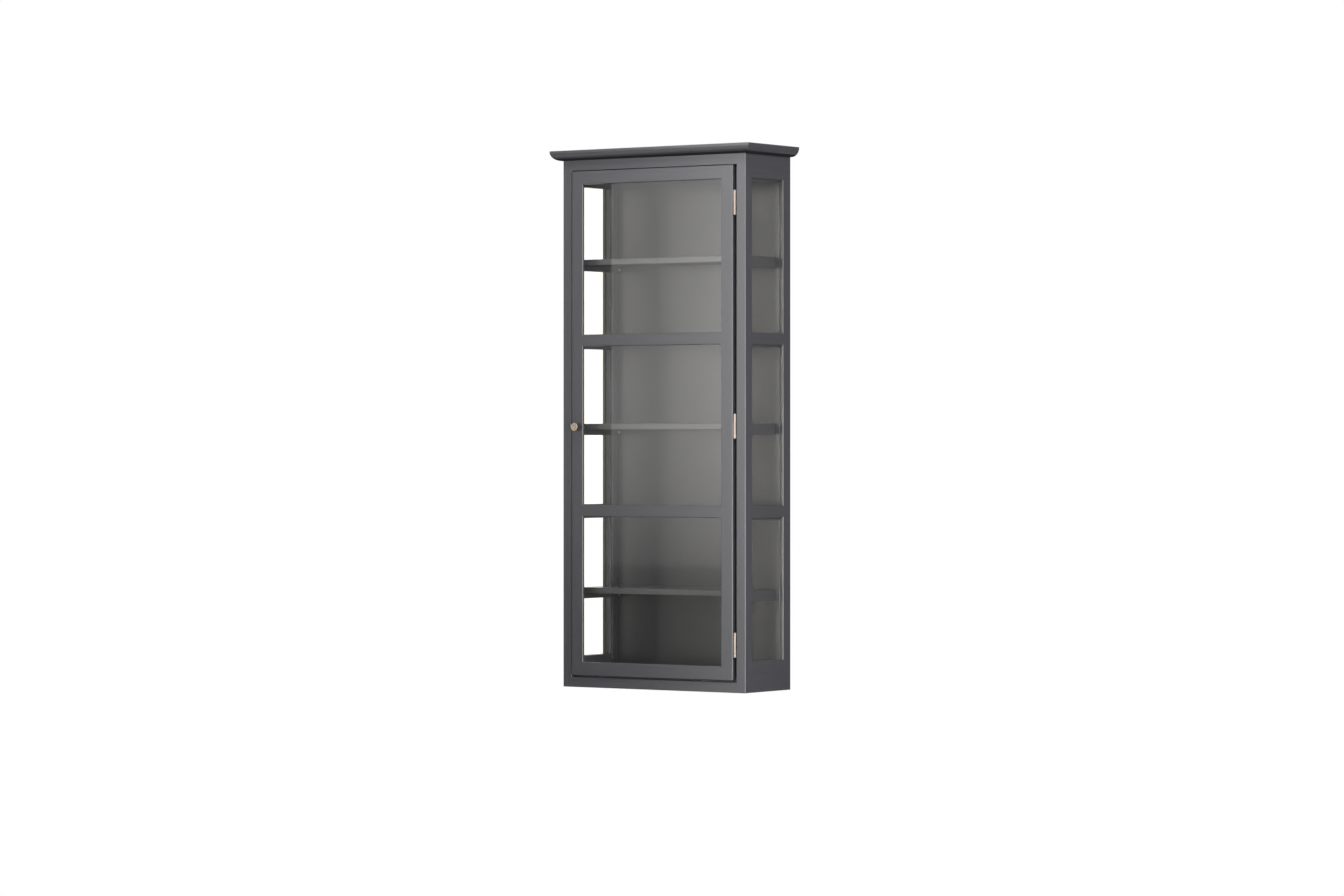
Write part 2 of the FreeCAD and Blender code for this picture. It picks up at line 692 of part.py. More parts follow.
# The two boards, once everything that enters them is known
board_depth = (front, "-back_thick")
board_stretch = (f"-{inner}", inner)
subpart("top_board", box("top_blank", board_stretch, board_depth, (ceiling, "carcass_height")))
subpart("bottom_board", box("bottom_blank", board_stretch, board_depth, ("0", "board_thick")))

# Side frames and door
for side, sign in sides.items():

    def side_block(name, stretch, depth, height, sign=sign):
        return box(name, mirrored(sign, f"{half} - ({depth[1]})", f"{half} - ({depth[0]})"), stretch, height)

    glazed_frame(
        side,
        side_block,
        ("front_stile", front, f"front_stile + {front}"),
        ("back_stile", "-back_stile", "0"),
        ("0", "carcass_height"),
        "side_top_rail",
        "side_bottom_rail",
        "frame_thick",
        "side_lip",
        "rebate",
        ("rebate", "frame_thick - side_lip - pane_thick", "head_bead"),
    )


def door_block(name, stretch, depth, height):
    return box(name, stretch, (f"{door_front} + {depth[0]}", f"{door_front} + {depth[1]}"), height)


glazed_frame(
    "door",
    door_block,
    ("knob_stile", door_left, f"{door_left} + knob_stile"),
    ("hinge_stile", f"{door_right} - hinge_stile", door_right),
    (door_low, door_high),
    "door_rail",
    "door_rail",
    "door_thick",
    "door_lip",
    "door_rebate",
    ("door_bead", "door_bead", "door_bead"),
)

for node, members in groups.items():
    subpart(node, group(f"{node}_group", members))

doc.recompute()
assert not cutters, f"nothing was built to take these holes: {sorted(cutters)}"
for item in doc.Objects:
    assert not {"Invalid", "Error"} & set(item.State), f"{item.Label} failed: {item.State}"
for item in subparts:
    assert not item.Shape.isNull() and item.Shape.isValid(), f"{item.Label} has no valid shape"
    assert item.Shape.Solids, f"{item.Label} holds no solid"

os.makedirs("parts", exist_ok=True)
for item in subparts:
    item.Shape.exportStep(f"parts/{item.Label}.step")
print(f"{len(subparts)} sub-parts written")
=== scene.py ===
import bmesh
import bpy
import math
from mathutils import Matrix, Vector


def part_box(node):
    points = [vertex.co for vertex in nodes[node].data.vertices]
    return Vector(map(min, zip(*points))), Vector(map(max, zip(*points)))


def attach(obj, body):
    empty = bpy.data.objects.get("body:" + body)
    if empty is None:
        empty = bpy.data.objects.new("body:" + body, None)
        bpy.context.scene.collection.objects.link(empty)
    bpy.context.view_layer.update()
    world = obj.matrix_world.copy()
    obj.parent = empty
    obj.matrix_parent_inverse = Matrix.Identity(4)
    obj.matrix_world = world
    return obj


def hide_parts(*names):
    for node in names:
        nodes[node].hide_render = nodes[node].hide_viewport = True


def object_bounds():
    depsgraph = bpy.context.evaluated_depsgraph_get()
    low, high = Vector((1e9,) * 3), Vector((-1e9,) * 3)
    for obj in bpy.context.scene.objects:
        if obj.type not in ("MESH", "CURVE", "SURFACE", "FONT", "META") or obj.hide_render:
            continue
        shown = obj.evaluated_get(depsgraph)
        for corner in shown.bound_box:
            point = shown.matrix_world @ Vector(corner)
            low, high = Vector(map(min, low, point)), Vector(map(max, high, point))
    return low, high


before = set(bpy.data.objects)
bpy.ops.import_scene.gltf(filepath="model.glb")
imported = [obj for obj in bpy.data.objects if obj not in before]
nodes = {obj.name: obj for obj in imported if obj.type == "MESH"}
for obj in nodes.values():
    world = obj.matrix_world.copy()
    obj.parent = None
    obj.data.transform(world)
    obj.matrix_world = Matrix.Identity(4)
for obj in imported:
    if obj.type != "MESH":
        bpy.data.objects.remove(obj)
cadLow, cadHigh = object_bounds()
mm = 0.001  # m
nearly = 1e-6  # m
print("frame loaded:", len(nodes), "pieces")


# sRGB hex to linear
def srgb(text):
    def linear(part):
        value = int(part, 16) / 255
        return value / 12.92 if value <= 0.04045 else ((value + 0.055) / 1.055) ** 2.4

    return (linear(text[1:3]), linear(text[3:5]), linear(text[5:7]), 1.0)


# how often a pattern of this size in mm repeats in a metre
def perMetre(size):
    return 1 / (size * mm)


def addNode(tree, kind, settings={}, links={}):
    node = tree.nodes.new(kind)
    sockets = [key for key in settings if isinstance(key, int) or key in node.inputs]
    for key in settings:
        if key not in sockets:
            setattr(node, key, settings[key])
    for key in sockets:
        node.inputs[key].default_value = settings[key]
    for key, source in links.items():
        tree.links.new(source, node.inputs[key])
    return node


def newFinish(name):
    finish = bpy.data.materials.new(name)
    finish.use_nodes = True
    tree = finish.node_tree
    tree.nodes.clear()
    surface = addNode(tree, "ShaderNodeBsdfPrincipled")
    addNode(tree, "ShaderNodeOutputMaterial", {}, {"Surface": surface.outputs["BSDF"]})
    place = addNode(tree, "ShaderNodeTexCoord").outputs["Object"]
    return finish, tree, surface, place


# a colour Mix node's sockets go by number, because their names repeat
mixDark, mixPale, mixTone = 6, 7, 2

# satin lacquer sprayed on planed wood: one even dark grey with a soft sheen, and the grain just telling
# through
lacquer = {
    "dark": "#434347",
    "pale": "#49494d",
    "smooth": 0.2,
    "rough": 0.26,
    "grainWidth": 4.0,  # mm, drawn coarser than real pores so that it shows in the render
    "grainLength": 90.0,  # mm
    "peelSize": 2.5,  # mm, the faint orange peel of a sprayed coat
    "relief": 0.02,  # mm
    "bump": 0.3,
    "ior": 1.5,
    "specular": 0.5,
}
# painted shade for undersides: a darker grey than the lacquer, flat and chalky with no sheen, so that
# they stay nearly black
paintedShadeCoat = {
    **lacquer,
    "dark": "#29292b",
    "pale": "#2f2f31",
    "smooth": 0.75,
    "rough": 0.85,
    "specular": 0.0,
}


def lacquerFinish(name, alongAxis, coat=lacquer):
    finish, tree, surface, place = newFinish(name)
    across, along = perMetre(coat["grainWidth"]), perMetre(coat["grainLength"])
    stretch = [along if axis == alongAxis else across for axis in "XYZ"]
    grainPlace = addNode(
        tree, "ShaderNodeMapping", {"Scale": stretch}, {"Vector": place}
    ).outputs["Vector"]
    grain = addNode(
        tree, "ShaderNodeTexNoise", {"Scale": 1.0, "Detail": 3.0}, {"Vector": grainPlace}
    ).outputs["Fac"]
    peel = addNode(
        tree, "ShaderNodeTexNoise", {"Scale": perMetre(coat["peelSize"]), "Detail": 1.0},
        {"Vector": place},
    ).outputs["Fac"]
    tone = addNode(
        tree, "ShaderNodeMix",
        {"data_type": "RGBA", mixDark: srgb(coat["dark"]), mixPale: srgb(coat["pale"])}, {0: grain},
    )
    sheen = addNode(
        tree, "ShaderNodeMapRange", {"To Min": coat["smooth"], "To Max": coat["rough"]},
        {"Value": grain},
    )
    height = addNode(tree, "ShaderNodeMath", {"operation": "ADD"}, {0: grain, 1: peel})
    bump = addNode(
        tree, "ShaderNodeBump", {"Strength": coat["bump"], "Distance": coat["relief"] * mm},
        {"Height": height.outputs["Value"]},
    )
    tree.links.new(tone.outputs[mixTone], surface.inputs["Base Color"])
    tree.links.new(sheen.outputs["Result"], surface.inputs["Roughness"])
    tree.links.new(bump.outputs["Normal"], surface.inputs["Normal"])
    surface.inputs["IOR"].default_value = coat["ior"]
    surface.inputs["Specular IOR Level"].default_value = coat["specular"]
    return finish


lacquerUp = lacquerFinish("satin_lacquer_upright_grain", "Z")
lacquerAcross = lacquerFinish("satin_lacquer_cross_grain", "X")
lacquerDeep = lacquerFinish("satin_lacquer_front_to_back_grain", "Y")
lacquerBoard = lacquerFinish("satin_lacquer_on_fibreboard", "none")
# the darker grey laid on undersides as painted shade
paintedShadeFinish = lacquerFinish("flat_painted_shade", "X", paintedShadeCoat)

# clear float glass: nearly colourless, with a breath of straw in what lies behind it and a faint wave
# that bends reflections
pane = {
    "tint": "#fffef9",
    "ior": 1.5,
    "waveSize": 160.0,  # mm
    "wave": 0.004,  # mm
    "bump": 1.0,
}


def glassFinish():
    finish, tree, surface, place = newFinish("clear_float_glass")
    wave = addNode(
        tree, "ShaderNodeTexNoise", {"Scale": perMetre(pane["waveSize"]), "Detail": 0.0},
        {"Vector": place},
    )
    bump = addNode(
        tree, "ShaderNodeBump", {"Strength": pane["bump"], "Distance": pane["wave"] * mm},
        {"Height": wave.outputs["Fac"]},
    )
    tree.links.new(bump.outputs["Normal"], surface.inputs["Normal"])
    surface.inputs["Base Color"].default_value = srgb(pane["tint"])
    surface.inputs["Transmission Weight"].default_value = 1.0
    surface.inputs["Roughness"].default_value = 0.0
    surface.inputs["IOR"].default_value = pane["ior"]
    return finish


floatGlass = glassFinish()

# metals: brush is the width of the brushing in mm, and along is the way it runs
metals = {
    # brushed brass: a soft pale sheen drawn out along the knuckles
    "satin_brass": {
        "dark": "#94877c", "pale": "#a3978c", "smooth": 0.22, "rough": 0.34,
        "brush": 0.8, "along": "Z", "metallic": 1.0,
    },
    # plated steel: a cool, slightly cloudy grey
    "zinc_plated_steel": {
        "dark": "#9a9c9e", "pale": "#b2b4b5", "smooth": 0.3, "rough": 0.45,
        "brush": 0.6, "along": "X", "metallic": 1.0,
    },
    # sintered ferrite: dull and nearly black, a fine grit with no direction
    "ferrite": {
        "dark": "#2b2b2d", "pale": "#38383a", "smooth": 0.55, "rough": 0.75,
        "brush": 0.5, "along": "none", "metallic": 0.0,
    },
}
brushLength = 25.0  # mm


def metalFinish(name):
    metal = metals[name]
    finish, tree, surface, place = newFinish(name)
    across, along = perMetre(metal["brush"]), perMetre(brushLength)
    stretch = [along if axis == metal["along"] else across for axis in "XYZ"]
    brushPlace = addNode(
        tree, "ShaderNodeMapping", {"Scale": stretch}, {"Vector": place}
    ).outputs["Vector"]
    brush = addNode(
        tree, "ShaderNodeTexNoise", {"Scale": 1.0, "Detail": 2.0}, {"Vector": brushPlace}
    ).outputs["Fac"]
    tone = addNode(
        tree, "ShaderNodeMix",
        {"data_type": "RGBA", mixDark: srgb(metal["dark"]), mixPale: srgb(metal["pale"])}, {0: brush},
    )
    sheen = addNode(
        tree, "ShaderNodeMapRange", {"To Min": metal["smooth"], "To Max": metal["rough"]},
        {"Value": brush},
    )
    tree.links.new(tone.outputs[mixTone], surface.inputs["Base Color"])
    tree.links.new(sheen.outputs["Result"], surface.inputs["Roughness"])
    surface.inputs["Metallic"].default_value = metal["metallic"]
    return finish


satinBrass = metalFinish("satin_brass")
zincSteel = metalFinish("zinc_plated_steel")
ferrite = metalFinish("ferrite")

# turned brass: fine rings from the lathe round the knob's own axis, which catch the light as a fan
turnedBrass = {
    "dark": "#83786a",
    "pale": "#908473",
    "smooth": 0.24,
    "rough": 0.38,
    "ringPitch": 3.77,  # mm, much coarser than a real cut so that it shows
    "distortion": 0.4,
    "relief": 0.004,  # mm
    "bump": 0.4,
}
waveTurn = 20  # radians that the Wave texture turns through in one unit


def turnedFinish(centre):
    finish, tree, surface, place = newFinish("turned_brass")
    here = addNode(
        tree, "ShaderNodeVectorMath", {"operation": "SUBTRACT", 1: centre}, {0: place}
    ).outputs["Vector"]
    rings = addNode(
        tree, "ShaderNodeTexWave",
        {"wave_type": "RINGS", "rings_direction": "Y", "Detail": 1.0,
         "Scale": math.tau * perMetre(turnedBrass["ringPitch"]) / waveTurn,
         "Distortion": turnedBrass["distortion"]},
        {"Vector": here},
    ).outputs["Fac"]
    tone = addNode(
        tree, "ShaderNodeMix",
        {"data_type": "RGBA", mixDark: srgb(turnedBrass["dark"]), mixPale: srgb(turnedBrass["pale"])},
        {0: rings},
    )
    sheen = addNode(
        tree, "ShaderNodeMapRange", {"To Min": turnedBrass["smooth"], "To Max": turnedBrass["rough"]},
        {"Value": rings},
    )
    bump = addNode(
        tree, "ShaderNodeBump",
        {"Strength": turnedBrass["bump"], "Distance": turnedBrass["relief"] * mm}, {"Height": rings},
    )
    tree.links.new(tone.outputs[mixTone], surface.inputs["Base Color"])
    tree.links.new(sheen.outputs["Result"], surface.inputs["Roughness"])
    tree.links.new(bump.outputs["Normal"], surface.inputs["Normal"])
    surface.inputs["Metallic"].default_value = 1.0
    return finish


# speckled parts: size is that of a speck in mm, and stretch draws it out along X
speckles = {
    # black ABS moulded with a fine spark texture: even and dull
    "moulded_abs": {"dark": "#1d1d1f", "pale": "#262628", "size": 0.7, "stretch": 1.0, "rough": 0.5},
    # bare turned beech: pale brown with short flecks along the grain
    "bare_beech": {"dark": "#a98460", "pale": "#c39c74", "size": 0.8, "stretch": 10.0, "rough": 0.6},
}
speckRelief = {"bump": 0.3, "height": 0.02}  # height in mm


def speckledFinish(name):
    look = speckles[name]
    finish, tree, surface, place = newFinish(name)
    across, along = perMetre(look["size"]), perMetre(look["size"] * look["stretch"])
    speckPlace = addNode(
        tree, "ShaderNodeMapping", {"Scale": (along, across, across)}, {"Vector": place}
    ).outputs["Vector"]
    speck = addNode(
        tree, "ShaderNodeTexNoise", {"Scale": 1.0, "Detail": 2.0}, {"Vector": speckPlace}
    ).outputs["Fac"]
    tone = addNode(
        tree, "ShaderNodeMix",
        {"data_type": "RGBA", mixDark: srgb(look["dark"]), mixPale: srgb(look["pale"])}, {0: speck},
    )
    bump = addNode(
        tree, "ShaderNodeBump",
        {"Strength": speckRelief["bump"], "Distance": speckRelief["height"] * mm}, {"Height": speck},
    )
    tree.links.new(tone.outputs[mixTone], surface.inputs["Base Color"])
    tree.links.new(bump.outputs["Normal"], surface.inputs["Normal"])
    surface.inputs["Roughness"].default_value = look["rough"]
    return finish


mouldedAbs = speckledFinish("moulded_abs")
bareBeech = speckledFinish("bare_beech")
print("finishes ready:", len(bpy.data.materials))


# an object from a finished bmesh
def meshObject(name, bm, finishes):
    mesh = bpy.data.meshes.new(name)
    bm.to_mesh(mesh)
    bm.free()
    for finish in finishes:
        mesh.materials.append(finish)
    made = bpy.data.objects.new(name, mesh)
    bpy.context.scene.collection.objects.link(made)
    return made


# a piece of the cabinet, riding on its body in place of the nodes it stands for
def finishPiece(name, bm, finishes, body, replaced):
    piece = meshObject(name, bm, finishes)
    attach(piece, body)
    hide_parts(*replaced)


# a sanded edge: one narrow flat, or a smooth round when it has more steps
def ease(bm, edges, radius, segments=1):
    made = bmesh.ops.bevel(
        bm, geom=edges, offset=radius * mm, offset_type="OFFSET", segments=segments, profile=0.5,
        affect="EDGES", clamp_overlap=True, material=-1,
    )
    for face in made["faces"]:
        face.smooth = segments > 1


def addBox(bm, low, high):
    size = high - low
    shape = Matrix.Translation((low + high) / 2) @ Matrix.Diagonal((*size, 1))
    return bmesh.ops.create_cube(bm, size=1, matrix=shape)["verts"]


def edgesOf(verts):
    return list({edge for vert in verts for edge in vert.link_edges})


def middle(edge):
    return (edge.verts[0].co + edge.verts[1].co) / 2


# glazed frames: one painted face with eased arrises, a lip in front of the glass and a rebate behind it
frameLook = {
    "arris": 0.9,  # mm, sanded edge
    "beadLine": 0.4,  # mm, edge beside a glazing bead
    "paneRoom": 1.0,  # mm, from the edge of a pane to the rebate's wall
    "seatGap": 0.1,  # mm, bedding between glass and wood
    "beadArris": 0.3,  # mm
    "headBead": 11.0,  # mm, the beads over the side panes
    "beadReach": 10.0,  # mm, how far outside an opening an edge still borders its beads
    "panelRoom": 0.5,  # mm, from the edge of the back panel to its rebate's wall
    "sharp": 1.0,  # radians, edges that turn further than this are sanded
}


axisX, axisY, axisZ = 0, 1, 2


def cutAcross(bm, geom, axis, place):
    co, no = Vector(), Vector()
    co[axis], no[axis] = place, 1
    return bmesh.ops.bisect_plane(bm, geom=geom, dist=nearly, plane_co=co, plane_no=no)["geom"]


def sliced(bm, axis, places):
    for place in places:
        cutAcross(bm, bm.verts[:] + bm.edges[:] + bm.faces[:], axis, place)


def facesAmong(items):
    return [item for item in items if isinstance(item, bmesh.types.BMFace)]


# the new faces after these are pushed out or in by the offset
def pushed(bm, faces, offset):
    made = bmesh.ops.extrude_face_region(bm, geom=faces)["geom"]
    verts = [item for item in made if isinstance(item, bmesh.types.BMVert)]
    bmesh.ops.translate(bm, verts=verts, vec=offset)
    return facesAmong(made)


def deepen(bm, faces, depth):
    return pushed(bm, faces, (0, depth, 0))


def inside(centre, opening, margin):
    first, second, low, high = opening
    return first - margin < centre.x < second + margin and low - margin < centre.z < high + margin


# the frame lies in X and Z, with its outer face at Y = 0, until a matrix puts it in its place
def frameBody(outline, openings, rebate, lip, thick, panelRebate=None, extraLevels=()):
    left, right, low, high = outline
    bm = bmesh.new()
    centre = Matrix.Translation(((left + right) / 2, 0, (low + high) / 2))
    upright = centre @ Matrix.Rotation(math.pi / 2, 4, "X")
    sized = upright @ Matrix.Diagonal((right - left, high - low, 1, 1))
    bmesh.ops.create_grid(bm, x_segments=1, y_segments=1, size=0.5, matrix=sized)
    first, second = openings[0][:2]  # the openings stand over each other, all as wide
    sliced(bm, axisX, [first - rebate, first, second, second + rebate])
    for opening in openings:
        foot, head = opening[2:]
        sliced(bm, axisZ, [foot - rebate, foot, head, head + rebate])
    sliced(bm, axisZ, extraLevels)
    if panelRebate:
        sliced(bm, axisX, [right - panelRebate[0]])
    cutOut = [
        face for face in bm.faces
        if any(inside(face.calc_center_median(), opening, 0) for opening in openings)
    ]
    bmesh.ops.delete(bm, geom=cutOut, context="FACES")
    back = deepen(bm, bm.faces[:], lip)

    def behindGlass(face):
        return not any(inside(face.calc_center_median(), opening, rebate) for opening in openings)

    back = [face for face in back if behindGlass(face)]
    if panelRebate:
        back = deepen(bm, back, thick - panelRebate[1] - lip)
        back = [face for face in back if face.calc_center_median().x < right - panelRebate[0]]
        deepen(bm, back, panelRebate[1])
    else:
        deepen(bm, back, thick - lip)
    bmesh.ops.recalc_face_normals(bm, faces=bm.faces[:])
    return bm


def convexEdges(bm):
    return [
        edge for edge in bm.edges
        if edge.is_manifold and edge.calc_face_angle_signed() > frameLook["sharp"]
    ]


def grainByPart(bm, first, second):
    for face in bm.faces:
        face.material_index = 1 if first < face.calc_center_median().x < second else 0


# glazing beads: four strips behind each pane, seated on the rebate's walls
def beadStrips(openings, rebate, wide, headWide, front, back):
    bm = bmesh.new()
    for first, second, foot, head in openings:
        left, right = first - rebate, second + rebate
        low, high = foot - rebate, head + rebate
        strips = (
            (left, right, low, low + wide),
            (left, right, high - headWide, high),
            (left, left + wide, low + wide, high - headWide),
            (right - wide, right, low + wide, high - headWide),
        )
        for start, end, bottom, top in strips:
            addBox(bm, Vector((start, front, bottom)), Vector((end, back, top)))
    ease(bm, bm.edges[:], frameLook["beadArris"])
    return bm


def openingsBetween(first, second, rails):
    levels = [(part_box(rail)[0].z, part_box(rail)[1].z) for rail in rails]
    return [(first, second, below[1], above[0]) for below, above in zip(levels, levels[1:])]


railNames = ("bottom_rail", "lower_mid_rail", "upper_mid_rail", "top_rail")


def makeDoor():
    knobStile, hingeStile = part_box("door_knob_stile"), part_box("door_hinge_stile")
    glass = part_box("door_middle_glass")
    front = knobStile[0].y
    thick = knobStile[1].y - front
    gap = frameLook["seatGap"] * mm
    lip = glass[0].y - front - gap
    rails = [f"door_{name}" for name in railNames]
    openings = openingsBetween(knobStile[1].x, hingeStile[0].x, rails)
    outline = (knobStile[0].x, hingeStile[1].x, knobStile[0].z, knobStile[1].z)
    place = Matrix.Translation((0, front, 0))
    rebate = knobStile[1].x - glass[0].x + frameLook["paneRoom"] * mm
    bm = frameBody(outline, openings, rebate, lip, thick)
    arrises = [edge for edge in convexEdges(bm) if abs(middle(edge).y - lip) > nearly]
    ease(bm, arrises, frameLook["arris"])
    grainByPart(bm, knobStile[1].x, hingeStile[0].x)
    bmesh.ops.transform(bm, matrix=place, verts=bm.verts[:])
    replaced = rails + ["door_knob_stile", "door_hinge_stile"]
    finishPiece("door_frame", bm, [lacquerUp, lacquerAcross], "door", replaced)
    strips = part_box("door_glazing_beads")
    beadFront, beadBack = glass[1].y - front + gap, strips[1].y - front
    wide = beadBack - beadFront + gap
    beads = beadStrips(openings, rebate, wide, wide, beadFront, beadBack)
    bmesh.ops.transform(beads, matrix=place, verts=beads.verts[:])
    finishPiece("door_beads", beads, [lacquerUp], "door", ["door_glazing_beads"])


# hanger plates are let into the back of each rear stile, over a deeper pocket for the screw's head
hangerSeat = {
    "plateEdge": 1.0,  # mm, from the outside of the stile
    "plateWidth": 12.0,  # mm
    "pocketWidth": 9.0,  # mm
    "pocketDepth": 8.0,  # mm, below the plate
    "pocketBelow": 4.5,  # mm, from the hanging point down
    "pocketAbove": 16.5,  # mm, from the hanging point up
}


def sinkPocket(bm, wall, low, high, depth):
    faces = [face for face in bm.faces if all(abs(vert.co.x - wall) < nearly for vert in face.verts)]
    for axis, place in ((axisY, low[0]), (axisY, high[0]), (axisZ, low[1]), (axisZ, high[1])):
        around = list({item for face in faces for item in [*face.verts, *face.edges, face]})
        faces = facesAmong(cutAcross(bm, around, axis, place))
    floor = []
    for face in faces:
        at = face.calc_center_median()
        if low[0] < at.y < high[0] and low[1] < at.z < high[1]:
            floor.append(face)
    pushed(bm, floor, (-depth, 0, 0))


def seatHanger(bm, wall):
    seat, plates = hangerSeat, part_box("hanger_plates")
    plateLow = (seat["plateEdge"] * mm, plates[0].z)
    plateHigh = (plateLow[0] + seat["plateWidth"] * mm, plates[1].z)
    centre = (plateLow[0] + plateHigh[0]) / 2
    pocketLow = (centre - seat["pocketWidth"] / 2 * mm, -seat["pocketBelow"] * mm)
    pocketHigh = (centre + seat["pocketWidth"] / 2 * mm, seat["pocketAbove"] * mm)
    plateThick = plates[1].y - plates[0].y
    sinkPocket(bm, wall, plateLow, plateHigh, plateThick)
    sinkPocket(bm, wall - plateThick, pocketLow, pocketHigh, seat["pocketDepth"] * mm)


def makeSide(side, sign):
    frontStile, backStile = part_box(f"{side}_front_stile"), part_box(f"{side}_back_stile")
    glass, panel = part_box(f"{side}_middle_glass"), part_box("back_panel")
    outer = frontStile[1].x if sign > 0 else frontStile[0].x
    thick = frontStile[1].x - frontStile[0].x
    gap = frameLook["seatGap"] * mm
    paneFront = outer - glass[1].x if sign > 0 else glass[0].x - outer
    paneBack = outer - glass[0].x if sign > 0 else glass[1].x - outer
    lip = paneFront - gap
    rails = [f"{side}_{name}" for name in railNames]
    openings = openingsBetween(frontStile[1].y, backStile[0].y, rails)
    low, high = frontStile[0].z, frontStile[1].z
    floorLevel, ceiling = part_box("bottom_board")[1].z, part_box("top_board")[0].z
    outline = (frontStile[0].y, backStile[1].y, low, high)
    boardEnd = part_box("bottom_board")[1].x
    panelRebate = (panel[1].y - panel[0].y, panel[1].x - boardEnd + frameLook["panelRoom"] * mm)
    rebate = frontStile[1].y - glass[0].y + frameLook["paneRoom"] * mm
    bm = frameBody(outline, openings, rebate, lip, thick, panelRebate, (floorLevel, ceiling))
    front = outline[0]
    reach = frameLook["beadReach"] * mm
    beadEdges, arrises = [], []
    for edge in convexEdges(bm):
        at = middle(edge)
        outerFace = at.y < nearly and at.z < high - nearly
        frontFoot = abs(at.x - front) < nearly and abs(at.z - low) < nearly
        mouth = abs(at.x - front) < nearly and at.y > thick - nearly and floorLevel < at.z < ceiling
        if outerFace or frontFoot or mouth:
            arrises.append(edge)
        elif at.y > thick - nearly and any(inside(at, opening, reach) for opening in openings):
            beadEdges.append(edge)
    ease(bm, arrises, frameLook["arris"])
    ease(bm, [edge for edge in beadEdges if edge.is_valid], frameLook["beadLine"])
    seatHanger(bm, outline[1])
    grainByPart(bm, frontStile[1].y, backStile[0].y)
    turn = Matrix(((0, -sign, 0, outer), (1, 0, 0, 0), (0, 0, 1, 0), (0, 0, 0, 1)))
    bmesh.ops.transform(bm, matrix=turn, verts=bm.verts[:])
    bmesh.ops.recalc_face_normals(bm, faces=bm.faces[:])
    replaced = rails + [f"{side}_front_stile", f"{side}_back_stile"]
    finishPiece(f"{side}_side_frame", bm, [lacquerUp, lacquerDeep], "cabinet", replaced)
    beads = beadStrips(openings, rebate, rebate, frameLook["headBead"] * mm, paneBack + gap, thick)
    bmesh.ops.transform(beads, matrix=turn, verts=beads.verts[:])
    bmesh.ops.recalc_face_normals(beads, faces=beads.faces[:])
    replaced = [f"{side}_glazing_beads"]
    finishPiece(f"{side}_beads", beads, [lacquerUp], "cabinet", replaced)


makeDoor()
makeSide("left", -1)
makeSide("right", 1)
print("door and side frames built")

# plain boards with sanded front edges, and undersides in a darker grey as painted shade
boardLook = {"arris": 0.7}  # mm


def makeBoard(node, name):
    low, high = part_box(node)
    bm = bmesh.new()
    verts = addBox(bm, low, high)
    front = [
        edge for edge in edgesOf(verts)
        if abs(middle(edge).y - low.y) < nearly and abs(middle(edge).x) < mm
    ]
    ease(bm, front, boardLook["arris"])
    # the underside takes the darker grey: painted shade under the board
    for face in bm.faces:
        face.material_index = 1 if face.calc_center_median().z < low.z + nearly else 0
    finishPiece(name, bm, [lacquerAcross, paintedShadeFinish], "cabinet", [node])


for shelfNode in ("shelf_upper", "shelf_middle", "shelf_lower"):
    makeBoard(shelfNode, f"{shelfNode}_board")
makeBoard("bottom_board", "bottom_plank")

# cornice: a board with a large round under its front and ends, mitred at the corners, with a soft top
# edge, and its downward-facing faces in a darker grey as painted shade
corniceLook = {
    "round": 16.5,  # mm
    "roundSteps": 14,
    "topEdge": 0.8,  # mm
    "shadeBelow": -0.75,  # faces whose normal has a lower Z than this take the darker painted shade
}


def makeCornice():
    low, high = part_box("cornice")
    bm = bmesh.new()
    verts = addBox(bm, low, high)
    rims = [edge for edge in edgesOf(verts) if middle(edge).y < high.y - nearly]
    lower = [edge for edge in rims if abs(middle(edge).z - low.z) < nearly]
    ease(bm, lower, corniceLook["round"], corniceLook["roundSteps"])
    upper = [
        edge for edge in bm.edges
        if abs(middle(edge).z - high.z) < nearly and middle(edge).y < high.y - nearly
    ]
    ease(bm, upper, corniceLook["topEdge"])
    for edge in bm.edges:
        onMitre = all(abs(abs(vert.co.x) + vert.co.y - high.x - low.y) < nearly for vert in edge.verts)
        edge.smooth = not onMitre
    bm.normal_update()
    # faces turned downward take the darker grey: painted shade under the cornice
    for face in bm.faces:
        face.material_index = 1 if face.normal.z < corniceLook["shadeBelow"] else 0
    coats = [lacquerAcross, paintedShadeFinish]
    finishPiece("cornice_moulding", bm, coats, "cabinet", ["cornice"])


makeCornice()

# knob: turned brass, a straight neck opening into a cone with a rim and a slightly dished face
knobLook = {
    "neck": 3.0,  # mm, radius
    "collar": 2.0,  # mm, how far the neck runs straight
    "face": 7.6,  # mm, radius
    "rim": 4.0,  # mm
    "length": 10.5,  # mm
    "land": 1.4,  # mm, the flat ring round the dish
    "dish": 0.35,  # mm
    "round": 0.42,  # mm
    "roundSteps": 3,
    "sharp": 0.4,  # radians, edges that turn further than this are rounded
    "steps": 64,
}


def makeKnob():
    low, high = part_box("knob")
    axis = Vector(((low.x + high.x) / 2, high.y, (low.z + high.z) / 2))
    look = knobLook
    profile = (
        (look["neck"], 0),
        (look["neck"], look["collar"]),
        (look["face"], look["length"] - look["rim"]),
        (look["face"], look["length"]),
        (look["face"] - look["land"], look["length"]),
        (0, look["length"] - look["dish"]),
    )
    bm = bmesh.new()
    verts = [bm.verts.new(axis + Vector((radius * mm, -out * mm, 0))) for radius, out in profile]
    edges = [bm.edges.new(pair) for pair in zip(verts, verts[1:])]
    bmesh.ops.spin(
        bm, geom=verts + edges, cent=axis, axis=(0, 1, 0), angle=math.tau, steps=look["steps"],
        use_merge=True,
    )
    bmesh.ops.remove_doubles(bm, verts=bm.verts[:], dist=nearly)
    rims = [edge for edge in bm.edges if edge.is_manifold and edge.calc_face_angle() > look["sharp"]]
    ease(bm, rims, look["round"], look["roundSteps"])
    for face in bm.faces:
        face.smooth = True
    bmesh.ops.recalc_face_normals(bm, faces=bm.faces[:])
    finishPiece("turned_knob", bm, [turnedFinish(axis)], "door", ["knob"])


makeKnob()
print("boards, cornice and knob built")

